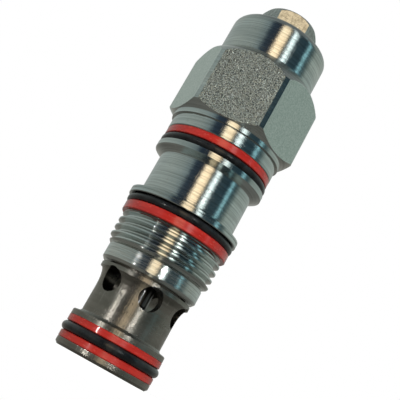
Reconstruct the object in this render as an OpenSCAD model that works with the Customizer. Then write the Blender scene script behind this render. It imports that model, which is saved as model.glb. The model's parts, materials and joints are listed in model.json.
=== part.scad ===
// Three-port load-holding cartridge valve with a floating nose and a screw adjuster.
// Millimetres. The valve's axis is Z, the adjuster is up, and Z = 0 is the seating face under the
// hexagon. The valve stands on its nose.

/* [Hexagon and neck] */
// Width across the flats of the hexagon, 1-1/8 inch
hex_width = 28.575; // [27.5:0.005:29]
// Height of the flats' top above the seating face, at the middle of a flat
hex_height = 18.3; // [17:0.1:20]
// Radius that the six corners are turned down to
hex_corner_r = 16.15; // [15.5:0.05:16.3]
// Outer radius of the seating face
seat_r = 14; // [13.7:0.1:14.2]
// Turn of the hexagon about the axis, degrees
hex_turn = 48.5; // [0:0.5:59]
// Radius of the round neck above the hexagon
neck_r = 12.3; // [11:0.05:12.5]
// Height of the neck's top face above the seating face
neck_top = 30.4; // [30:0.1:33]

/* [Body below the seating face] */
// Radius of the land just under the hexagon
top_land_r = 13.5; // [13:0.05:13.6]
// Radius of the two flanges either side of the waist
flange_r = 13.75; // [13.3:0.05:13.8]
// Radius of the waist between the two seals
waist_r = 11.7; // [10.8:0.1:12]
// Major radius of the mounting thread, 1 inch
thread_r = 12.7; // [12.5:0.05:12.8]
// Thread pitch, 14 turns to the inch
thread_pitch = 1.814; // [1.5:0.002:1.9]
// Radius of the collar below the thread
collar_r = 11.75; // [11.4:0.05:12]

/* [Nose sleeve] */
// Radius of the lands either side of the nose seals
nose_r = 11.45; // [11:0.05:11.6]
// Radius of the narrow part with the cross holes
sleeve_r = 9.75; // [9.4:0.05:10.2]
// Depth of the nose's end face below the seating face
nose_depth = 58.2; // [57.5:0.1:60]
// Number of cross holes
hole_count = 6; // [4:1:6]
// Diameter of a cross hole
hole_d = 5.5; // [4:0.1:6]
// Direction of the first cross hole about the axis, degrees
hole_turn = 284; // [0:1:359]

/* [Adjuster] */
// Major radius of the adjusting screw, 3/8 inch
screw_r = 4.76; // [4.7:0.01:4.8]
// Thread pitch of the adjusting screw, 24 turns to the inch
screw_pitch = 1.058; // [1:0.002:1.2]
// Height of the screw's top above the seating face
screw_top = 36.5; // [36:0.1:40]
// Width across the flats of the locknut
nut_width = 13; // [12.5:0.5:14]
// Height of the locknut
nut_height = 5.5; // [5:0.1:6.5]
// Width across the flats of the hexagon socket in the screw
key_width = 4; // [3:0.5:5]

/* [Springs and moving parts] */
// Wire radius of the main spring
main_wire_r = 0.9; // [0.7:0.05:1]
// Mean coil radius of the main spring
main_coil_r = 6.25; // [6.1:0.05:6.4]
// Coils in the main spring
main_coils = 6; // [4:0.5:7]
// Wire radius of the check spring
check_wire_r = 0.35; // [0.25:0.05:0.4]
// Mean coil radius of the check spring
check_coil_r = 5.7; // [5.5:0.05:5.9]
// Coils in the check spring
check_coils = 3.5; // [3:0.5:4]
// Radius of the relief piston where it runs in its guide
piston_r = 4; // [3.8:0.05:4]
// Radial clearance of a running fit
run_fit = 0.05; // [0.02:0.01:0.08]

/* [Hidden] */

// height of the flats' lower edge, at the middle of a flat
flat_low = 1.3;
// levels on the body, from its lower end up
body_end = -37.1;
collar_top = -33.5;
thread_start = -33;
thread_end = -25.3;
middle_groove_top = -21.15;
middle_flange_top = -19.7;
waist_low = -18.8;
waist_high = -9.6;
upper_flange_low = -8.4;
upper_groove_low = -7;
upper_groove_top = -3.2;
// floors of the body's seal grooves
middle_floor_r = 11.5;
upper_floor_r = 11.7;
// bores in the body
socket_r = 9.6;
socket_top = -27;
bush_r = 8.6;
bush_top = -15;
chamber_r = 8;
chamber_top = 24;
// levels and radii in the sleeve
sleeve_top = -37.6;
spigot_r = 9.3;
spigot_top = -29.5;
nose_end = -nose_depth;
nose_groove_low = nose_end + 1.65;
nose_groove_top = nose_end + 7.15;
nose_flange_top = nose_end + 8.45;
nose_floor_r = 9.7;
hole_z = -41;
sleeve_chamber_r = 6.4;
check_seat_z = nose_end + 13.3;
nose_bore_r = 8.6;
snap_low = nose_end + 0.65;
snap_high = nose_end + 1.35;
// levels on the adjuster
nut_low = neck_top + 0.1;
nut_bore_r = screw_r + run_fit;
seal_high = nut_low + 1.4;
plunger_low = 18.7;
plunger_high = 21.7;
plunger_r = chamber_r - run_fit;
tip_z = 17.6;
// spring seats
upper_seat_face = 14.6;
lower_seat_face = -7;
piston_shoulder = -10.2;

zinc = [0.62, 0.66, 0.68];
dark_steel = [0.32, 0.3, 0.28];
steel = [0.6, 0.6, 0.62];
red = [0.7, 0.14, 0.12];
black = [0.06, 0.06, 0.07];

module turned(outline) {
  rotate_extrude($fn = 120) polygon(outline);
}

// Round-section ring, its centre circle at radius r and height z.
module ring(r, z, section_r) {
  rotate_extrude($fn = 120) translate([r, z]) circle(r = section_r, $fn = 48);
}

// Flat-sided ring with its outer edges eased.
module square_ring(inner_r, outer_r, low, high, ease = 0.15) {
  turned([[inner_r, low], [outer_r - ease, low], [outer_r, low + ease], [outer_r, high - ease],
    [outer_r - ease, high], [inner_r, high]]);
}

// Outline points of one thread turn that starts at height z: root, flank, crest, flank.
function thread_turn(major, depth, pitch, z) = [[major - depth, z], [major, z + 0.35 * pitch],
  [major, z + 0.475 * pitch], [major - depth, z + 0.825 * pitch]];

// Height of a coil after t turns: the first and last turns are closed.
function coil_z(t, coils, length, wire) = let(open = length - 4.2 * wire)
  t < 1 ? t * 2.1 * wire
  : t > coils - 1 ? length - (coils - t) * 2.1 * wire
  : 2.1 * wire + open * (t - 1) / (coils - 2);

module coil_spring(low, high, coil_r, wire_r, coils) {
  steps = 18;
  length = high - low - 2 * wire_r;
  for (i = [0:steps * coils - 1]) {
    hull() {
      coil_slice(i / steps, low + wire_r, length, coil_r, wire_r, coils);
      coil_slice((i + 1) / steps, low + wire_r, length, coil_r, wire_r, coils);
    }
  }
}

module coil_slice(t, low, length, coil_r, wire_r, coils) {
  rotate([0, 0, 360 * t]) translate([coil_r, 0, low + coil_z(t, coils, length, wire_r)])
    rotate([90, 0, 0]) cylinder(h = 0.08, r = wire_r, center = true, $fn = 9);
}

// Length of hexagon bar, width measured across the flats.
module hexagon(width, low, high) {
  translate([0, 0, low]) cylinder(h = high - low, r = width / sqrt(3), $fn = 6);
}

module body_outside() {
  root = 1.1;
  turns = 4;
  last = thread_start + turns * thread_pitch;
  turned(concat(
    [[0, body_end], [collar_r - 0.5, body_end], [collar_r, body_end + 0.6],
      [collar_r, collar_top], [collar_r - 0.5, collar_top]],
    [for (i = [0:turns - 1]) each thread_turn(thread_r - (i == 0 ? 0.35 : 0), root, thread_pitch,
      thread_start + i * thread_pitch)],
    [[thread_r - root, last], [thread_r - 0.4, thread_end],
      [middle_floor_r, thread_end], [middle_floor_r, middle_groove_top],
      [flange_r - 0.15, middle_groove_top], [flange_r, middle_groove_top + 0.15],
      [flange_r, middle_flange_top - 0.65], [flange_r - 0.15, middle_flange_top - 0.55],
      [flange_r, middle_flange_top - 0.45], [flange_r, middle_flange_top],
      [waist_r, waist_low], [waist_r, waist_high], [flange_r, upper_flange_low],
      [flange_r, upper_groove_low - 0.15], [flange_r - 0.15, upper_groove_low],
      [upper_floor_r, upper_groove_low], [upper_floor_r, upper_groove_top],
      [top_land_r - 0.15, upper_groove_top], [top_land_r, upper_groove_top + 0.15],
      [top_land_r, 0.1], [0, 0.1]]));
}

// Ball of radius r whose surface meets radius at_r at height at_z, below (side 1) or above
// (side -1) that height. It rounds the end of a hexagon as a turned chamfer does.
module end_ball(r, at_r, at_z, side) {
  translate([0, 0, at_z - side * sqrt(r * r - at_r * at_r)]) sphere(r = r, $fn = 120);
}

// The hexagon, its corners and both ends turned down, with the round seat below it and the neck
// above it.
module hexagon_and_neck() {
  rim_r = 2.6;
  rim_h = 2.3;
  intersection() {
    rotate([0, 0, hex_turn]) hexagon(hex_width, 0.2, hex_height + 4);
    translate([0, 0, 0.1]) cylinder(h = hex_height + 4.1, r = hex_corner_r, $fn = 120);
    end_ball(19.5, hex_width / 2, hex_height, 1);
    end_ball(26, hex_width / 2, flat_low, -1);
  }
  turned(concat(
    [[0, 0], [seat_r, 0], [seat_r, flat_low + 0.5], [neck_r, flat_low + 0.5]],
    [for (a = [0:10:90]) [neck_r - rim_r + rim_r * cos(a), neck_top - rim_h + rim_h * sin(a)]],
    [[0, neck_top]]));
}

module hex_body() {
  color(zinc) difference() {
    union() {
      body_outside();
      hexagon_and_neck();
    }
    turned([[0, body_end - 1], [socket_r + 1.3, body_end - 1], [socket_r, body_end + 0.3],
      [socket_r, body_end + 1.2], [socket_r + 0.75, body_end + 1.2],
      [socket_r + 0.75, body_end + 2.4], [socket_r, body_end + 2.4], [socket_r, socket_top],
      [bush_r, socket_top], [bush_r, bush_top], [chamber_r, bush_top],
      [chamber_r, chamber_top], [nut_bore_r, chamber_top], [nut_bore_r, neck_top - 0.4],
      [nut_bore_r + 0.5, neck_top + 0.1], [0, neck_top + 0.1]]);
    // pilot passage from the waist into the spring chamber
    translate([0, 0, -12.5]) rotate([-90, 0, 0]) cylinder(h = waist_r + 1, r = 0.8, $fn = 32);
  }
}

// Guide for the relief piston, pushed up against the socket's shoulder.
module guide_bush() {
  bore_r = piston_r + run_fit;
  outer_r = bush_r - 0.02;
  color(steel) turned([[bore_r + 0.3, -28.4], [socket_r - 0.15, -28.4],
    [socket_r - 0.15, socket_top - 0.03], [outer_r, socket_top - 0.03], [outer_r, -25.3],
    [outer_r - 1.3, -25.3], [outer_r - 1.3, -23.7], [outer_r, -23.7], [outer_r, bush_top - 0.3],
    [outer_r - 0.3, bush_top], [bore_r + 0.3, bush_top], [bore_r, bush_top - 0.3],
    [bore_r, -19], [bore_r + 1.65, -19], [bore_r + 1.65, -22.5], [bore_r, -22.5],
    [bore_r, -28.1]]);
}

module bush_oring() {
  color(black) ring(bush_r - 0.66, -24.5, 0.63);
}

module piston_oring() {
  color(black) ring(piston_r + 0.86, -21.65, 0.8);
}

module piston_backup_ring() {
  color(red) square_ring(piston_r + run_fit, piston_r + 1.66, -20.8, -19.05);
}

module upper_backup_ring() {
  color(red) square_ring(upper_floor_r + 0.03, 13.45, -5.05, upper_groove_top - 0.03);
}

module upper_oring() {
  color(black) ring(12.75, -6.02, 0.94);
}

module middle_oring() {
  color(black) ring(12.55, -22.17, 0.95);
}

module middle_backup_ring() {
  color(red) square_ring(middle_floor_r + 0.03, 13.25, thread_end + 0.03, -23.17);
}

// Open wire ring that locks the sleeve's spigot into the body.
module sleeve_retaining_ring() {
  color(steel) rotate([0, 0, 100]) rotate_extrude(angle = 335, $fn = 120)
    translate([socket_r + 0.15, body_end + 1.8]) circle(r = 0.55, $fn = 32);
}

module nose_sleeve() {
  cove = sleeve_r - spigot_r + 0.9;
  color(dark_steel) difference() {
    turned(concat(
      [[0, nose_end], [nose_r - 0.6, nose_end], [nose_r, nose_end + 0.6],
        [nose_r, nose_groove_low], [nose_floor_r, nose_groove_low],
        [nose_floor_r, nose_groove_top], [nose_r, nose_groove_top],
        [nose_r, nose_flange_top - 0.2], [nose_r - 0.2, nose_flange_top],
        [sleeve_r + 0.35, nose_flange_top + 0.2], [sleeve_r, nose_flange_top + 0.6]],
      // hollow flare up to the shoulder under the collar
      [for (a = [0:15:75]) [sleeve_r + cove * (1 - cos(a)), -43 + 4.5 * sin(a)]],
      [[sleeve_r + cove, -38.6], [sleeve_r + cove, sleeve_top - 0.15],
        [sleeve_r + cove - 0.15, sleeve_top], [spigot_r, sleeve_top], [spigot_r, -36.5],
        [spigot_r - 0.6, -36.5], [spigot_r - 0.6, -34.5], [spigot_r, -34.5],
        [spigot_r, -33.3], [spigot_r - 1.4, -33.3], [spigot_r - 1.4, -31.7],
        [spigot_r, -31.7], [spigot_r, spigot_top - 0.3], [spigot_r - 0.3, spigot_top],
        [0, spigot_top]]));
    turned([[0, nose_end - 1], [nose_bore_r + 0.4, nose_end - 1],
      [nose_bore_r + 0.4, nose_end], [nose_bore_r, nose_end + 0.4],
      [nose_bore_r, snap_low], [nose_bore_r + 0.6, snap_low],
      [nose_bore_r + 0.6, snap_high], [nose_bore_r, snap_high],
      [nose_bore_r, check_seat_z], [sleeve_chamber_r, check_seat_z],
      [sleeve_chamber_r, -34.9], [sleeve_chamber_r - 1.8, -33.9],
      [sleeve_chamber_r - 1.8, spigot_top + 1], [0, spigot_top + 1]]);
    for (i = [0:hole_count - 1]) {
      rotate([0, 0, hole_turn + i * 360 / hole_count]) translate([0, 0, hole_z])
        rotate([0, 90, 0]) cylinder(h = collar_r, d = hole_d, $fn = 64);
    }
  }
}

module sleeve_oring() {
  color(black) ring(spigot_r - 0.62, -32.5, 0.75);
}

module nose_backup_ring_upper() {
  color(red) square_ring(nose_floor_r + 0.03, nose_r + 0.05, nose_end + 5.55, nose_groove_top - 0.03);
}

module nose_oring() {
  color(black) ring(10.87, nose_end + 4.42, 1.1);
}

module nose_backup_ring_lower() {
  color(red) square_ring(nose_floor_r + 0.03, nose_r + 0.05, nose_groove_low + 0.03, nose_end + 3.28);
}

// Check poppet: its cone closes upward on the sleeve's shoulder, and the relief piston closes its
// centre hole. Six notches round the guide let the flow past.
module check_poppet() {
  guide_r = nose_bore_r - run_fit;
  cone_r = 7.5;
  face_r = 5.6;
  cone_low = check_seat_z - 0.07 - (cone_r - sleeve_chamber_r);
  face_z = cone_low + cone_r - face_r;
  color(steel) difference() {
    turned([[2, face_z - 0.3], [2.3, face_z], [face_r, face_z], [cone_r, cone_low],
      [cone_r, check_seat_z - 3.6], [guide_r, check_seat_z - 4.2],
      [guide_r, check_seat_z - 7.8], [guide_r - 0.2, check_seat_z - 8],
      [6.6, check_seat_z - 8], [6.6, check_seat_z - 4.5], [2, check_seat_z - 4.5]]);
    for (i = [0:5]) {
      rotate([0, 0, i * 60]) translate([guide_r, 0, check_seat_z - 9])
        cylinder(h = 6, r = 1.1, $fn = 32);
    }
  }
}

module check_spring() {
  color(steel) coil_spring(snap_high + 0.85, check_seat_z - 4.55, check_coil_r, check_wire_r,
    check_coils);
}

module check_spring_retainer() {
  color(steel) turned([[4.6, snap_high + 0.02], [nose_bore_r - 0.03, snap_high + 0.02],
    [nose_bore_r - 0.03, snap_high + 0.8], [4.6, snap_high + 0.8]]);
}

// Internal snap ring, open at one side.
module retainer_snap_ring() {
  color(steel) rotate([0, 0, 110]) rotate_extrude(angle = 320, $fn = 120)
    polygon([[nose_bore_r - 1, snap_low + 0.03], [nose_bore_r + 0.5, snap_low + 0.03],
      [nose_bore_r + 0.5, snap_high - 0.02], [nose_bore_r - 1, snap_high - 0.02]]);
}

module relief_piston() {
  stem_r = 2.6;
  tip = check_seat_z - 0.83;
  color(steel) turned([[0, tip], [0.7, tip], [stem_r, tip + 3.29], [stem_r, -29],
    [piston_r - 0.4, -28.4], [piston_r, -28], [piston_r, piston_shoulder - 0.2],
    [piston_r - 0.2, piston_shoulder], [2.5, piston_shoulder], [2.5, -5.5], [2.2, -5.2],
    [0, -5.2]]);
}

module lower_spring_seat() {
  color(steel) turned([[2.52, piston_shoulder + 0.02], [4.4, piston_shoulder + 0.02],
    [4.4, -9], [7.3, -9], [7.5, -8.8], [7.5, lower_seat_face - 0.2], [7.3, lower_seat_face],
    [5, lower_seat_face], [5, -5.2], [4.4, -4.6], [2.52, -4.6]]);
}

module main_spring() {
  color(steel) coil_spring(lower_seat_face + 0.05, upper_seat_face - 0.05, main_coil_r,
    main_wire_r, main_coils);
}

module upper_spring_seat() {
  color(steel) turned([[0, 12.2], [4.4, 12.2], [5, 12.8], [5, upper_seat_face],
    [7.3, upper_seat_face], [7.5, upper_seat_face + 0.2], [7.5, 16], [7.3, 16.2], [5, 16.2],
    [5, 18.2], [3.9, 18.2], [2.2, tip_z - 0.1], [0, tip_z - 0.1]]);
}

// Adjusting screw: sealed plunger below, threaded stem above, hexagon socket in the top.
module adjusting_screw() {
  root = 0.6;
  low = chamber_top - 1;
  turns = floor((screw_top - 0.6 - low) / screw_pitch);
  last = low + turns * screw_pitch;
  color(zinc) difference() {
    turned(concat(
      [[0, tip_z], [2, tip_z], [3.6, plunger_low], [plunger_r - 0.2, plunger_low],
        [plunger_r, plunger_low + 0.2], [plunger_r, 19.4], [6.4, 19.4], [6.4, 21],
        [plunger_r, 21], [plunger_r, plunger_high - 0.2], [plunger_r - 0.2, plunger_high],
        [screw_r - root, plunger_high]],
      [for (i = [0:turns - 1]) each thread_turn(screw_r, root, screw_pitch,
        low + i * screw_pitch)],
      [[screw_r - root, last], [screw_r - root, screw_top - 0.3],
        [screw_r - root - 0.3, screw_top], [0, screw_top]]));
    translate([0, 0, screw_top - 4.5]) cylinder(h = 5, r = key_width / sqrt(3), $fn = 6);
  }
}

module screw_oring() {
  color(black) ring(plunger_r - 0.78, 20.2, 0.75);
}

// Soft washer in the locknut's recess.
module locknut_seal() {
  color(black) square_ring(nut_bore_r + 0.1, 5.85, nut_low - 0.05, seal_high - 0.05);
}

module locknut() {
  top = nut_low + nut_height;
  color(zinc) difference() {
    intersection() {
      hexagon(nut_width, nut_low, top);
      end_ball(9.5, nut_width / 2 - 0.4, top, 1);
      end_ball(16, nut_width / 2 - 0.2, nut_low, -1);
    }
    turned([[0, nut_low - 1], [5.95, nut_low - 1], [5.95, seal_high], [nut_bore_r, seal_high],
      [nut_bore_r, top - 0.5], [nut_bore_r + 0.6, top + 0.1], [nut_bore_r + 0.6, top + 1],
      [0, top + 1]]);
  }
}

hex_body();
guide_bush();
bush_oring();
piston_oring();
piston_backup_ring();
upper_backup_ring();
upper_oring();
middle_oring();
middle_backup_ring();
sleeve_retaining_ring();
nose_sleeve();
sleeve_oring();
nose_backup_ring_upper();
nose_oring();
nose_backup_ring_lower();
check_poppet();
check_spring();
check_spring_retainer();
retainer_snap_ring();
relief_piston();
lower_spring_seat();
main_spring();
upper_spring_seat();
adjusting_screw();
screw_oring();
locknut_seal();
locknut();
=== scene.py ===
import json
import math

import bmesh
import bpy
from mathutils import Matrix, Vector


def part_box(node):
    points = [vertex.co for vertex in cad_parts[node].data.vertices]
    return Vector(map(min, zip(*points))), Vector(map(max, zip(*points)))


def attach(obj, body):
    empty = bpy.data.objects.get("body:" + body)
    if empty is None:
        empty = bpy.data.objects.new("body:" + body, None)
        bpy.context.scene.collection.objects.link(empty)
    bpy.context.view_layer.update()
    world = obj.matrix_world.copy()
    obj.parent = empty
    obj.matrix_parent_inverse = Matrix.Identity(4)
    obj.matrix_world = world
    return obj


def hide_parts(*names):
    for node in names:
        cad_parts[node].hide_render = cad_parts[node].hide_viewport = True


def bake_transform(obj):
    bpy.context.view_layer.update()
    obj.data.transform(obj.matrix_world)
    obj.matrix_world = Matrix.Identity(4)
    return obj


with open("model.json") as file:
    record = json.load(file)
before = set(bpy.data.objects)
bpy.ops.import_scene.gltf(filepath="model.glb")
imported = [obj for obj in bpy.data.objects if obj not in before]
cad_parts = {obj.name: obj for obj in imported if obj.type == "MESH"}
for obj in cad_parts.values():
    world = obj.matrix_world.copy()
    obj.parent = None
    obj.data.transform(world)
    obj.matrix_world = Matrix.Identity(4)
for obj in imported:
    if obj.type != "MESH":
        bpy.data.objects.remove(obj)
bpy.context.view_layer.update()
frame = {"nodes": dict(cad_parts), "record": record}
NODES = frame["nodes"]
MM = 0.001

# Sizes the visual pieces share with the CAD, in metres.
NOSE_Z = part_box("nose_sleeve")[0].z
THREAD_R = 12.7 * MM
THREAD_ROOT_R = 11.6 * MM
THREAD_PITCH = 1.814 * MM
THREAD_LOW = -33.0 * MM
THREAD_HIGH = -25.3 * MM
FIRST_FLAT = math.radians(78.5)  # direction of one hexagon flat's normal
PEENED_FLAT = math.radians(258.5)  # the flat that carries the rough texture
ROUND_OUT = 14.05 * MM  # no round surface lies further out than this
FLAT_OUT = 14.2 * MM  # and every hexagon flat does


# ---------------------------------------------------------------- material tools


class Shade:
    """A material's node tree, with short calls to add and join nodes."""

    def __init__(self, name):
        self.mat = bpy.data.materials.new(name)
        self.mat.use_nodes = True
        self.tree = self.mat.node_tree
        self.tree.nodes.clear()
        self.out = self.tree.nodes.new("ShaderNodeOutputMaterial")
        self.bsdf = self.tree.nodes.new("ShaderNodeBsdfPrincipled")
        self.join(self.bsdf.outputs["BSDF"], self.out.inputs["Surface"])
        coords = self.tree.nodes.new("ShaderNodeTexCoord")
        self.object = coords.outputs["Object"]

    def join(self, a, b):
        self.tree.links.new(a, b)

    def put(self, socket, value):
        if isinstance(value, bpy.types.NodeSocket):
            self.join(value, socket)
        else:
            socket.default_value = value

    def math(self, kind, a, b, clamp=False):
        n = self.tree.nodes.new("ShaderNodeMath")
        n.operation = kind
        n.use_clamp = clamp
        for socket, value in zip(n.inputs, (a, b)):
            self.put(socket, value)
        return n.outputs[0]

    def dot(self, a, b):
        n = self.tree.nodes.new("ShaderNodeVectorMath")
        n.operation = "DOT_PRODUCT"
        self.put(n.inputs[0], a)
        self.put(n.inputs[1], b)
        return n.outputs["Value"]

    def stretch(self, scale):
        """The object's coordinates, scaled by axis: cells per metre for a noise of scale 1."""
        n = self.tree.nodes.new("ShaderNodeMapping")
        n.inputs["Scale"].default_value = scale
        self.join(self.object, n.inputs["Vector"])
        return n.outputs[0]

    def noise(self, scale, vector=None, detail=4.0, rough=0.5):
        """Noise from 0 to 1; scale is in cells per metre of the vector given."""
        n = self.tree.nodes.new("ShaderNodeTexNoise")
        n.inputs["Scale"].default_value = scale
        n.inputs["Detail"].default_value = detail
        n.inputs["Roughness"].default_value = rough
        self.join(vector or self.object, n.inputs["Vector"])
        return n.outputs["Fac"]

    def cells(self, scale):
        """Rounded cells, each 0 at its middle; scale is in cells per metre."""
        n = self.tree.nodes.new("ShaderNodeTexVoronoi")
        n.feature = "SMOOTH_F1"
        n.inputs["Scale"].default_value = scale
        self.join(self.object, n.inputs["Vector"])
        return n.outputs["Distance"]

    def ramp(self, value, low, high, to_low=0.0, to_high=1.0):
        n = self.tree.nodes.new("ShaderNodeMapRange")
        n.clamp = True
        for socket, number in zip(list(n.inputs)[1:5], (low, high, to_low, to_high)):
            socket.default_value = number
        self.put(n.inputs[0], value)
        return n.outputs[0]

    def mix(self, factor, a, b):
        n = self.tree.nodes.new("ShaderNodeMix")
        n.data_type = "RGBA"
        self.put(n.inputs["Factor"], factor)
        for socket, value in ((n.inputs[6], a), (n.inputs[7], b)):
            self.put(socket, (*value, 1.0) if isinstance(value, tuple) else value)
        return n.outputs[2]

    def bump(self, height, distance, strength=1.0, normal=None):
        n = self.tree.nodes.new("ShaderNodeBump")
        n.inputs["Distance"].default_value = distance
        n.inputs["Strength"].default_value = strength
        self.put(n.inputs["Height"], height)
        if normal is not None:
            self.join(normal, n.inputs["Normal"])
        return n.outputs[0]

    def edge(self, radius, gain=6.0):
        """1 on edges and 0 on open surface: how far a small rounding would turn the normal."""
        round_over = self.tree.nodes.new("ShaderNodeBevel")
        round_over.samples = 4
        round_over.inputs["Radius"].default_value = radius
        geometry = self.tree.nodes.new("ShaderNodeNewGeometry")
        same = self.dot(round_over.outputs[0], geometry.outputs["Normal"])
        return self.math("MULTIPLY", self.math("SUBTRACT", 1.0, same), gain, clamp=True)

    def facing(self, angle):
        """1 on the hexagon flat that faces that direction about Z, and 0 on round surfaces."""
        geometry = self.tree.nodes.new("ShaderNodeNewGeometry")
        turn = self.tree.nodes.new("ShaderNodeVectorTransform")
        turn.vector_type, turn.convert_from, turn.convert_to = "NORMAL", "WORLD", "OBJECT"
        self.join(geometry.outputs["True Normal"], turn.inputs[0])
        direction = (math.cos(angle), math.sin(angle), 0.0)
        along = self.dot(turn.outputs[0], direction)
        far_out = self.ramp(self.dot(self.object, direction), ROUND_OUT, FLAT_OUT)
        return self.math("MULTIPLY", far_out, self.ramp(along, 0.9985, 0.9995))


def turning_lines(s, fine=5200.0, coarse=1700.0):
    """Height field of lathe marks: noise stretched round the axis, so it varies only along it."""
    line = s.noise(1.0, s.stretch((30.0, 30.0, fine)), detail=3.0)
    feed = s.noise(1.0, s.stretch((60.0, 60.0, coarse)), detail=2.0)
    return s.math("ADD", s.math("MULTIPLY", line, 0.6), s.math("MULTIPLY", feed, 0.4))


def scratches(s, amount=0.55):
    """Sparse thin scratches, 1 on a scratch."""
    a = s.noise(1.0, s.stretch((2400.0, 2400.0, 130.0)), detail=1.0)
    b = s.noise(1.0, s.stretch((160.0, 160.0, 3600.0)), detail=1.0)
    return s.math("MAXIMUM", s.ramp(a, 0.70, 0.74, 0.0, amount), s.ramp(b, 0.72, 0.76, 0.0, amount))


def zinc(name, hexagon=False, wear_and_shade=0.0):
    """Bright zinc plate on turned steel, with passivate tints, stains and rubbed edges.

    wear_and_shade is how much the plate is darkened towards dull steel, a little all over and more in
    mottled patches: partly wear, partly painted shade."""
    s = Shade(name)
    s.bsdf.inputs["Metallic"].default_value = 1.0
    cloud = s.noise(90.0, detail=5.0)
    spots = s.noise(700.0, detail=6.0, rough=0.65)
    tint = s.mix(s.ramp(cloud, 0.35, 0.68), (0.56, 0.61, 0.61), (0.68, 0.68, 0.64))
    grime = s.ramp(spots, 0.60, 0.78, 0.0, 0.5)
    tint = s.mix(grime, tint, (0.34, 0.34, 0.31))
    marks = scratches(s)
    rub = s.edge(0.16 * MM)
    tint = s.mix(s.math("MAXIMUM", s.math("MULTIPLY", marks, 0.7), s.math("MULTIPLY", rub, 0.6)),
                 tint, (0.86, 0.87, 0.86))
    lines = turning_lines(s)
    tint = s.mix(s.ramp(lines, 0.40, 0.62, 0.0, 0.55), tint, (0.30, 0.31, 0.29))
    crinkle = s.noise(1.0, s.stretch((420.0, 420.0, 2300.0)), detail=4.0, rough=0.6)
    rough = s.math("ADD", s.ramp(cloud, 0.3, 0.7, 0.07, 0.13), s.math("MULTIPLY", grime, 0.5))
    lathe = s.bump(s.math("ADD", lines, s.math("MULTIPLY", crinkle, 2.2)), 0.020 * MM, 0.8)
    normal = s.bump(s.math("MULTIPLY", marks, -1.0), 0.008 * MM, 0.6, lathe)
    if wear_and_shade:
        # painted shade with mottled wear: the plate is darkened towards dull steel a little everywhere and
        # more in patches
        patch = s.ramp(s.noise(1300.0, detail=5.0, rough=0.7), 0.40, 0.60, 0.35 * wear_and_shade, wear_and_shade)
        tint = s.mix(patch, tint, (0.16, 0.17, 0.16))
    if hexagon:
        rough, tint, normal = hexagon_flats(s, rough, tint, normal, marks)
    s.put(s.bsdf.inputs["Base Color"], tint)
    s.put(s.bsdf.inputs["Roughness"], rough)
    s.put(s.bsdf.inputs["Normal"], normal)
    return s.mat


def hexagon_flats(s, rough, tint, normal, marks):
    """The hexagon's flats: five drawn and satin, one peened rough with bright and dark grains."""
    satin = 0.0
    for i in range(6):
        satin = s.math("MAXIMUM", s.facing(FIRST_FLAT + i * math.pi / 3), satin)
    drawn = s.noise(1.0, s.stretch((2600.0, 2600.0, 160.0)), detail=3.0)
    pits = s.noise(2600.0, detail=6.0, rough=0.6)
    satin_rough = s.math("ADD", 0.34, s.ramp(drawn, 0.3, 0.7, -0.03, 0.08))
    satin_tint = s.mix(s.ramp(pits, 0.42, 0.62), (0.56, 0.63, 0.58), (0.76, 0.80, 0.76))
    satin_normal = s.bump(s.math("ADD", drawn, s.math("MULTIPLY", pits, 1.2)), 0.022 * MM, 0.9)
    peened = s.facing(PEENED_FLAT)
    grain = s.cells(2300.0)
    fleck = s.noise(4300.0, detail=5.0, rough=0.75)
    peen_height = s.math("ADD", grain, s.math("MULTIPLY", fleck, 0.9))
    peen_normal = s.bump(peen_height, 0.13 * MM, 1.0)
    peen_tint = s.mix(s.ramp(fleck, 0.43, 0.58), (0.04, 0.05, 0.052), (0.66, 0.75, 0.75))
    peen_rough = s.ramp(fleck, 0.35, 0.65, 0.40, 0.20)

    def choose(factor, a, b):
        n = s.tree.nodes.new("ShaderNodeMix")
        n.data_type = "VECTOR"
        s.put(n.inputs["Factor"], factor)
        s.join(a, n.inputs[4])
        s.join(b, n.inputs[5])
        return n.outputs[1]

    def lerp(factor, a, b):
        return s.math("ADD", a, s.math("MULTIPLY", factor, s.math("SUBTRACT", b, a)))

    rough = lerp(peened, lerp(satin, rough, satin_rough), peen_rough)
    tint = s.mix(peened, s.mix(satin, tint, satin_tint), peen_tint)
    normal = choose(peened, choose(satin, normal, satin_normal), peen_normal)
    return rough, tint, normal


def dark_steel():
    """Heat-darkened steel of the nose: brown-grey, rubbed lighter in bands and on edges, dented."""
    s = Shade("dark_steel_turned")
    s.bsdf.inputs["Metallic"].default_value = 1.0
    cloud = s.noise(160.0, detail=6.0, rough=0.6)
    band = s.noise(1.0, s.stretch((25.0, 25.0, 520.0)), detail=2.0)
    base = s.mix(s.ramp(cloud, 0.35, 0.65), (0.205, 0.195, 0.17), (0.285, 0.27, 0.24))
    base = s.mix(s.ramp(band, 0.46, 0.62, 0.0, 0.5), base, (0.33, 0.305, 0.275))
    marks = scratches(s, 0.8)
    rub = s.edge(0.16 * MM)
    base = s.mix(s.math("MAXIMUM", s.math("MULTIPLY", marks, 0.6), s.math("MULTIPLY", rub, 0.7)),
                 base, (0.55, 0.53, 0.50))
    s.put(s.bsdf.inputs["Base Color"], base)
    s.put(s.bsdf.inputs["Roughness"], s.ramp(cloud, 0.3, 0.7, 0.20, 0.32))
    lathe = s.bump(turning_lines(s, 3200.0, 900.0), 0.016 * MM, 0.8)
    dents = s.ramp(s.noise(1500.0, detail=2.0), 0.60, 0.72)
    relief = s.math("SUBTRACT", s.math("MULTIPLY", s.noise(2600.0, detail=4.0), 0.3), dents)
    s.put(s.bsdf.inputs["Normal"], s.bump(relief, 0.03 * MM, 0.8, lathe))
    return s.mat


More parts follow.
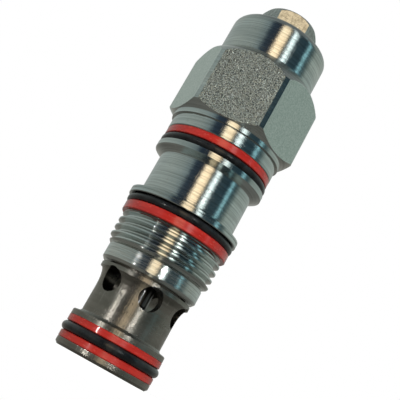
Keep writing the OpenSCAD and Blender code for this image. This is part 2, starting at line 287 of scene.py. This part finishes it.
def plain_steel():
    """Ground steel of the hidden working parts, with a thin film of oil; its base colour is kept very dark,
    partly oiled steel and partly painted shade for the inside of the bore.
    """
    s = Shade("plain_steel_ground_shaded")
    s.bsdf.inputs["Metallic"].default_value = 1.0
    cloud = s.noise(240.0, detail=4.0)
    # painted shade: the working parts are darkened to stand in for the shade inside the bore, seen through
    # the cross holes
    base = s.mix(s.ramp(cloud, 0.35, 0.65), (0.10, 0.10, 0.10), (0.16, 0.16, 0.16))
    s.put(s.bsdf.inputs["Base Color"], s.mix(s.edge(0.1 * MM), base, (0.40, 0.40, 0.39)))
    s.put(s.bsdf.inputs["Roughness"], s.ramp(cloud, 0.3, 0.7, 0.18, 0.3))
    s.bsdf.inputs["Coat Weight"].default_value = 0.25
    s.bsdf.inputs["Coat Roughness"].default_value = 0.15
    s.put(s.bsdf.inputs["Normal"], s.bump(turning_lines(s, 7000.0, 2600.0), 0.006 * MM, 0.6))
    return s.mat


def spring_steel():
    """Drawn spring wire: dark, oiled, with fine drawing lines."""
    s = Shade("spring_steel_drawn")
    s.bsdf.inputs["Metallic"].default_value = 1.0
    cloud = s.noise(900.0, detail=5.0)
    s.put(s.bsdf.inputs["Base Color"],
          s.mix(s.ramp(cloud, 0.35, 0.65), (0.28, 0.27, 0.26), (0.42, 0.41, 0.40)))
    s.put(s.bsdf.inputs["Roughness"], s.ramp(cloud, 0.3, 0.7, 0.25, 0.4))
    s.put(s.bsdf.inputs["Normal"], s.bump(s.noise(4000.0, detail=3.0), 0.006 * MM, 0.6))
    return s.mat


def red_backup():
    """Moulded red backup ring: glossy plastic with flow mottling, scuffs, and painted shade darkening its
    edges and corners.
    """
    s = Shade("red_backup_moulded")
    flow = s.noise(1.0, s.stretch((180.0, 180.0, 900.0)), detail=5.0)
    base = s.mix(s.ramp(flow, 0.35, 0.65), (0.56, 0.022, 0.016), (0.70, 0.040, 0.028))
    scuff = s.ramp(s.noise(1.0, s.stretch((900.0, 900.0, 2600.0)), detail=3.0), 0.60, 0.74, 0.0, 0.5)
    base = s.mix(scuff, base, (0.74, 0.13, 0.10))
    # painted shade: the edges and corners are darkened towards deep red
    base = s.mix(s.math("MULTIPLY", s.edge(0.2 * MM), 0.45), base, (0.34, 0.014, 0.010))
    s.put(s.bsdf.inputs["Base Color"], base)
    s.put(s.bsdf.inputs["Roughness"], s.math("ADD", 0.26, s.math("MULTIPLY", scuff, 0.3)))
    s.bsdf.inputs["Specular IOR Level"].default_value = 0.3
    s.bsdf.inputs["Coat Weight"].default_value = 0.5
    s.bsdf.inputs["Coat Roughness"].default_value = 0.06
    s.put(s.bsdf.inputs["Normal"], s.bump(s.noise(1.0, s.stretch((500.0, 500.0, 1800.0)), detail=3.0),
                                           0.02 * MM, 0.6))
    return s.mat


def black_rubber():
    """Oiled nitrile: near black, glossy where wet, with a faint bloom and specks of dust."""
    s = Shade("black_rubber_oiled")
    bloom = s.noise(320.0, detail=5.0)
    base = s.mix(s.ramp(bloom, 0.40, 0.70), (0.008, 0.009, 0.011), (0.026, 0.028, 0.031))
    dust = s.ramp(s.noise(5200.0, detail=2.0), 0.72, 0.80, 0.0, 0.5)
    s.put(s.bsdf.inputs["Base Color"], s.mix(dust, base, (0.18, 0.18, 0.17)))
    s.put(s.bsdf.inputs["Roughness"], s.ramp(bloom, 0.35, 0.65, 0.20, 0.36))
    s.bsdf.inputs["Specular IOR Level"].default_value = 0.3
    s.bsdf.inputs["Coat Weight"].default_value = 0.3
    s.bsdf.inputs["Coat Roughness"].default_value = 0.07
    s.put(s.bsdf.inputs["Normal"], s.bump(s.noise(1900.0, detail=4.0), 0.014 * MM, 0.6))
    return s.mat


# ---------------------------------------------------------------- mounting thread


def thread_radius(z, turn):
    """Radius of the rolled helical thread at height z, for an angle given as a part of a turn."""
    phase = ((z - THREAD_LOW) / THREAD_PITCH - turn) % 1.0
    rise = min(phase, 1.0 - phase) * 2.0  # 0 in the root, 1 on the crest
    tooth = min(max((rise - 0.14) / 0.66, 0.0), 1.0)
    lead_in = 0.35 * MM + (z - THREAD_LOW) * 0.9
    run_out = 0.45 * MM + (THREAD_HIGH - z) * 0.9
    depth = min((THREAD_R - THREAD_ROOT_R) * tooth, lead_in, run_out)
    return THREAD_ROOT_R + depth


def thread_band(name):
    """Helical thread as a closed band, round the body between its collar and the middle seal."""
    around = 192
    knots = (0.0, 0.07, 0.15, 0.235, 0.32, 0.4, 0.5, 0.6, 0.68, 0.765, 0.85, 0.93)
    turns = math.ceil((THREAD_HIGH - THREAD_LOW) / THREAD_PITCH) + 1
    core = THREAD_ROOT_R - 1.2 * MM
    bm = bmesh.new()
    columns = []
    for i in range(around):
        a = 2 * math.pi * i / around
        column = [bm.verts.new((core * math.cos(a), core * math.sin(a), THREAD_LOW))]
        for turn in range(-1, turns):
            for knot in knots:
                z = THREAD_LOW + THREAD_PITCH * (turn + knot + i / around)
                z = min(max(z, THREAD_LOW), THREAD_HIGH)
                r = thread_radius(z, i / around)
                column.append(bm.verts.new((r * math.cos(a), r * math.sin(a), z)))
        column.append(bm.verts.new((core * math.cos(a), core * math.sin(a), THREAD_HIGH)))
        columns.append(column)
    last = len(columns[0]) - 1

    def corner(i, j):
        """Vertex j of column i; one turn on, the same point is one pitch further up its column."""
        if i < around or j in (0, last):
            return columns[i % around][j]
        return columns[0][min(j + len(knots), last - 1)]

    for i in range(around):
        for j in range(last):
            quad = dict.fromkeys((corner(i, j), corner(i + 1, j), corner(i + 1, j + 1),
                                  corner(i, j + 1)))
            if len(quad) > 2:
                bm.faces.new(tuple(quad))
        k = (i + 1) % around
        bm.faces.new((columns[i][0], columns[i][last], columns[k][last], columns[k][0]))
    bmesh.ops.remove_doubles(bm, verts=bm.verts, dist=1e-7)
    bmesh.ops.dissolve_degenerate(bm, edges=bm.edges, dist=1e-7)
    bmesh.ops.recalc_face_normals(bm, faces=bm.faces)
    mesh = bpy.data.meshes.new(name)
    bm.to_mesh(mesh)
    bm.free()
    mesh.shade_smooth()
    mesh.set_sharp_from_angle(angle=math.radians(30))
    obj = bpy.data.objects.new(name, mesh)
    bpy.context.collection.objects.link(obj)
    return obj


def body_without_thread(name):
    """Copy of the CAD body with the ringed thread turned down to below the helical band's root."""
    source = NODES["hex_body"]
    obj = source.copy()
    obj.data = source.data.copy()
    obj.name = obj.data.name = name
    bpy.context.collection.objects.link(obj)
    cut_r = THREAD_ROOT_R - 0.5 * MM
    for v in obj.data.vertices:
        r = math.hypot(v.co.x, v.co.y)
        inside = THREAD_LOW - 1e-5 < v.co.z < THREAD_HIGH - 1e-4 and r > cut_r
        if inside:
            v.co.x *= cut_r / r
            v.co.y *= cut_r / r
    return obj


# ---------------------------------------------------------------- springs


def spring_length(name, node, low, high):
    """A length of a coil spring, from height low to high, cut out of the CAD spring with its cut ends
    filled.
    """
    bm = bmesh.new()
    bm.from_mesh(NODES[node].data)
    for height, normal in ((low, (0.0, 0.0, -1.0)), (high, (0.0, 0.0, 1.0))):
        everything = list(bm.verts) + list(bm.edges) + list(bm.faces)
        bmesh.ops.bisect_plane(bm, geom=everything, plane_co=(0.0, 0.0, height), plane_no=normal,
                               clear_outer=True)
    bmesh.ops.holes_fill(bm, edges=[e for e in bm.edges if e.is_boundary], sides=0)
    mesh = bpy.data.meshes.new(name)
    bm.to_mesh(mesh)
    bm.free()
    mesh.shade_smooth()
    mesh.set_sharp_from_angle(angle=math.radians(40))
    mesh.materials.clear()
    mesh.materials.append(finish["spring_steel"])
    obj = bpy.data.objects.new(name, mesh)
    bpy.context.collection.objects.link(obj)
    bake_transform(obj)
    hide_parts(node)
    return obj


# ---------------------------------------------------------------- materials onto the nodes

finish = {
    "zinc_plate": zinc("zinc_plate_turned"),
    "dark_steel": dark_steel(),
    "plain_steel": plain_steel(),
    "spring_steel": spring_steel(),
    "red_backup": red_backup(),
    "black_rubber": black_rubber(),
}
hexagon_zinc = zinc("zinc_plate_hexagon", hexagon=True)
# the locknut's zinc is darkened all over as painted shade, with mottled patches of wear
worn_and_shaded_zinc = zinc("zinc_plate_worn_and_shaded", wear_and_shade=0.75)
for part in frame["record"]["subparts"]:
    node = NODES[part["node"]]
    for place in node.material_slots:
        place.material = finish[part["material_slot"]]
for place in NODES["locknut"].material_slots:
    place.material = worn_and_shaded_zinc

turned_body = body_without_thread("turned_body")
for place in turned_body.material_slots:
    place.material = hexagon_zinc
thread = thread_band("rolled_thread")
thread.data.materials.append(finish["zinc_plate"])
for piece in (turned_body, thread):
    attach(piece, "valve_body")
    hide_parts("hex_body")

spring_low, spring_high = (corner.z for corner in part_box("main_spring"))
spring_middle = (spring_low + spring_high) / 2
spring_length("main_spring_lower_coils", "main_spring", spring_low, spring_middle)
spring_length("main_spring_upper_coils", "main_spring", spring_middle, spring_high)
check_low, check_high = (corner.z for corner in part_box("check_spring"))
spring_length("check_spring_coils", "check_spring", check_low, check_high)


# ---------------------------------------------------------------- studio


def fill_ramp(node, stops):
    """Set a colour ramp from (degrees about Z, colour) pairs, -180 to 180 over its length."""
    elements = node.color_ramp.elements
    while len(elements) < len(stops):
        elements.new(0.5)
    for element, (angle, colour) in zip(elements, stops):
        element.position = (angle + 180) / 360
        element.color = (*colour, 1.0)


def studio_world():
    """White backdrop for the camera; for the object, a studio of tall soft panels and dark gaps."""
    world = bpy.data.worlds.new("studio")
    world.use_nodes = True
    tree = world.node_tree
    tree.nodes.clear()
    new = tree.nodes.new
    join = tree.links.new

    def spread_over(value, low, high, to_low=0.0):
        """The value, mapped from low..high to to_low..1."""
        n = new("ShaderNodeMapRange")
        n.inputs["From Min"].default_value = low
        n.inputs["From Max"].default_value = high
        n.inputs["To Min"].default_value = to_low
        join(value, n.inputs[0])
        return n.outputs[0]

    coords = new("ShaderNodeTexCoord")
    split = new("ShaderNodeSeparateXYZ")
    join(coords.outputs["Generated"], split.inputs[0])
    around = new("ShaderNodeMath")
    around.operation = "ARCTAN2"
    join(split.outputs["X"], around.inputs[0])
    front = new("ShaderNodeMath")
    front.operation = "MULTIPLY"
    front.inputs[1].default_value = -1.0
    join(split.outputs["Y"], front.inputs[0])
    join(front.outputs[0], around.inputs[1])
    turn = spread_over(around.outputs[0], -math.pi, math.pi)
    panels = new("ShaderNodeValToRGB")
    # degrees from the front, positive to +X, and the light that comes from there
    stops = (
        (-180, (0.38, 0.41, 0.39)), (-140, (0.43, 0.48, 0.46)), (-100, (0.40, 0.46, 0.44)),
        (-60, (0.32, 0.38, 0.37)), (-44, (0.22, 0.28, 0.29)), (-35, (0.035, 0.055, 0.08)),
        (-15, (0.03, 0.04, 0.055)), (-11, (2.00, 1.60, 1.10)), (5, (1.70, 1.30, 0.85)),
        (9, (0.05, 0.08, 0.09)), (15, (0.08, 0.12, 0.13)), (18, (2.20, 2.40, 2.40)),
        (25, (1.30, 1.55, 1.55)), (29, (0.04, 0.07, 0.085)), (58, (0.03, 0.06, 0.08)),
        (64, (0.50, 0.95, 1.05)), (70, (0.05, 0.10, 0.12)), (80, (0.12, 0.17, 0.17)),
        (90, (0.36, 0.43, 0.40)), (130, (0.42, 0.48, 0.45)), (180, (0.38, 0.41, 0.39)),
    )
    fill_ramp(panels, stops)
    join(turn, panels.inputs[0])
    # below the height where sin(elevation) is 0.135 to 0.075, the studio is plainer and warmer
    low_panels = new("ShaderNodeValToRGB")
    low_stops = (
        (-180, (0.34, 0.34, 0.31)), (-60, (0.30, 0.30, 0.27)), (-38, (0.29, 0.29, 0.26)),
        (-30, (0.17, 0.17, 0.16)), (-13, (0.17, 0.17, 0.16)), (-9, (1.35, 1.22, 0.95)),
        (2, (1.10, 0.98, 0.76)), (7, (0.24, 0.24, 0.22)), (35, (0.19, 0.20, 0.18)),
        (60, (0.24, 0.25, 0.23)), (180, (0.34, 0.34, 0.31)),
    )
    fill_ramp(low_panels, low_stops)
    join(turn, low_panels.inputs[0])
    wall = new("ShaderNodeMix")
    wall.data_type = "RGBA"
    join(spread_over(split.outputs["Z"], 0.135, 0.075), wall.inputs["Factor"])
    join(panels.outputs["Color"], wall.inputs[6])
    join(low_panels.outputs["Color"], wall.inputs[7])
    roof = new("ShaderNodeMix")
    roof.data_type = "RGBA"
    roof.inputs[7].default_value = (0.20, 0.22, 0.22, 1.0)
    join(spread_over(split.outputs["Z"], 0.55, 0.95), roof.inputs["Factor"])
    join(wall.outputs[2], roof.inputs[6])
    seen = new("ShaderNodeBackground")
    seen.inputs["Color"].default_value = (1.0, 1.0, 1.0, 1.0)
    lit = new("ShaderNodeBackground")
    join(roof.outputs[2], lit.inputs["Color"])
    # light from below the horizon is dimmer
    join(spread_over(split.outputs["Z"], -0.40, 0.0, 0.52), lit.inputs["Strength"])
    path = new("ShaderNodeLightPath")
    pick = new("ShaderNodeMixShader")
    join(path.outputs["Is Camera Ray"], pick.inputs[0])
    join(lit.outputs[0], pick.inputs[1])
    join(seen.outputs[0], pick.inputs[2])
    out = new("ShaderNodeOutputWorld")
    join(pick.outputs[0], out.inputs["Surface"])
    bpy.context.scene.world = world


def soft_light(name, place, target, size, power, colour, mirrored):
    """Rectangular lamp; one that is not mirrored lights matt surfaces but shows in no reflection."""
    data = bpy.data.lights.new(name, "AREA")
    data.shape = "RECTANGLE"
    data.size, data.size_y = size
    data.energy = power
    data.color = colour
    lamp = bpy.data.objects.new(name, data)
    lamp.location = place
    lamp.rotation_mode = "QUATERNION"
    lamp.rotation_quaternion = (Vector(target) - Vector(place)).to_track_quat("-Z", "Y")
    lamp.visible_camera = False
    lamp.visible_glossy = mirrored
    bpy.context.collection.objects.link(lamp)
    return lamp


def light_table():
    """Pale floor: a very wide disc, lit a little from within like a light table."""
    bm = bmesh.new()
    bmesh.ops.create_circle(bm, cap_ends=True, radius=4.0, segments=96)
    mesh = bpy.data.meshes.new("floor")
    bm.to_mesh(mesh)
    bm.free()
    floor = bpy.data.objects.new("floor", mesh)
    floor.location.z = NOSE_Z - 0.02 * MM
    bpy.context.collection.objects.link(floor)
    s = Shade("pale_floor")
    s.bsdf.inputs["Base Color"].default_value = (0.86, 0.86, 0.86, 1.0)
    s.put(s.bsdf.inputs["Roughness"], s.ramp(s.noise(40.0), 0.3, 0.7, 0.85, 0.95))
    s.bsdf.inputs["Specular IOR Level"].default_value = 0.1
    s.bsdf.inputs["Emission Color"].default_value = (1.0, 1.0, 1.0, 1.0)
    s.bsdf.inputs["Emission Strength"].default_value = 0.62
    mesh.materials.append(s.mat)
    floor.visible_glossy = False
    floor.visible_diffuse = False


def photo_camera():
    """Camera low down in front of the valve, close, looking up and rolled over."""
    distance = 174.0 * MM
    height = 0.2 * MM  # above the floor
    look_up = math.radians(14.05)
    look_right = math.radians(0.43)
    roll = math.radians(29.1)
    data = bpy.data.cameras.new("camera")
    data.sensor_width = 36.0
    data.lens = 69.7
    data.clip_start = 0.01
    data.clip_end = 20.0
    camera = bpy.data.objects.new("camera", data)
    bpy.context.collection.objects.link(camera)
    aim = Vector((math.sin(look_right) * math.cos(look_up), math.cos(look_right) * math.cos(look_up),
                  math.sin(look_up)))
    side = aim.cross(Vector((0.0, 0.0, 1.0))).normalized()
    up = side.cross(aim)
    turned_side = side * math.cos(roll) + up * math.sin(roll)
    turned_up = up * math.cos(roll) - side * math.sin(roll)
    axes = Matrix((turned_side, turned_up, -aim)).transposed()
    camera.matrix_world = Matrix.Translation((0.0, -distance, NOSE_Z + height)) @ axes.to_4x4()
    bpy.context.scene.camera = camera


studio_world()
light_table()
DAYLIGHT = (1.0, 0.99, 0.97)
SPOTLIGHT = (1.0, 0.98, 0.95)
soft_light("top_softbox", (0.05, -0.15, 0.55), (0.0, 0.0, 0.0), (0.4, 0.4), 0.8, DAYLIGHT, False)
soft_light("front_fill", (0.10, -0.60, 0.06), (0.0, 0.0, -0.02), (0.5, 0.3), 1.25, (1.0, 0.99, 0.98), False)
soft_light("left_spot", (-0.70, -0.72, -0.01), (0.0, 0.0, -0.05), (0.012, 0.018), 0.5, SPOTLIGHT, True)
soft_light("right_spot", (0.33, -0.94, 0.05), (0.0, 0.0, -0.03), (0.012, 0.024), 0.35, SPOTLIGHT, True)
photo_camera()
bpy.context.scene.view_settings.view_transform = "Standard"
